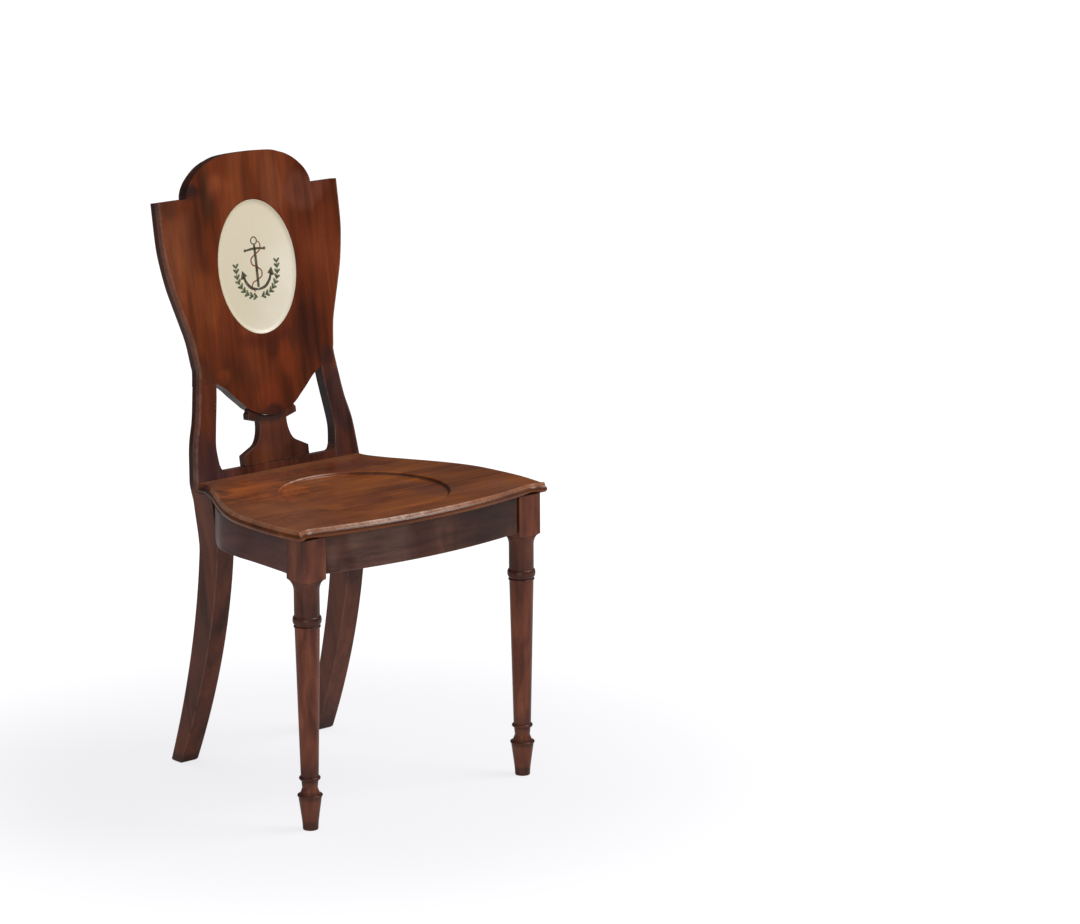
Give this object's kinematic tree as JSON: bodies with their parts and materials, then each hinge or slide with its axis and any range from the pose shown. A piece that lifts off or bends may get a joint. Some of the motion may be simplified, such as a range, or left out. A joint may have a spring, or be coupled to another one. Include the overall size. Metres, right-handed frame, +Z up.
{
  "type": "hall chair",
  "caption": "Rigid wooden side chair with a raked solid shield back, an inset painted oval, a dished board seat, turned front legs and swept back legs.",
  "frame": {"origin": "on the floor, in the middle of the chair's bounding box seen from above", "axes": "+Z up, -Y towards the front of the chair, +X to the right as seen by someone facing the chair's front"},
  "size_m": [0.462, 0.4436, 0.892],
  "materials": {
    "shield_wood": "waxed and polished flame mahogany",
    "seat_wood": "waxed and polished mahogany",
    "frame_wood": "waxed dark mahogany",
    "hidden_wood": "bare secondary wood",
    "oval_paint": "cream oil paint on wood",
    "iron": "dull hand-cut iron"
  },
  "bodies": {
    "root": {"seat_board": "seat_wood", "front_rail": "frame_wood", "rear_rail": "frame_wood", "left_side_rail": "frame_wood", "right_side_rail": "frame_wood", "left_front_leg": "frame_wood", "right_front_leg": "frame_wood", "left_back_post": "shield_wood", "right_back_post": "shield_wood", "shield_panel": "shield_wood", "pedestal": "shield_wood", "oval_tablet": "oval_paint", "left_front_corner_block": "hidden_wood", "left_front_seat_screw": "iron", "left_front_rail_screw": "iron", "left_front_side_screw": "iron", "right_front_corner_block": "hidden_wood", "right_front_seat_screw": "iron", "right_front_rail_screw": "iron", "right_front_side_screw": "iron", "left_rear_corner_block": "hidden_wood", "left_rear_seat_screw": "iron", "left_rear_rail_screw": "iron", "left_rear_side_screw": "iron", "right_rear_corner_block": "hidden_wood", "right_rear_seat_screw": "iron", "right_rear_rail_screw": "iron", "right_rear_side_screw": "iron"}
  },
  "joints": []
}
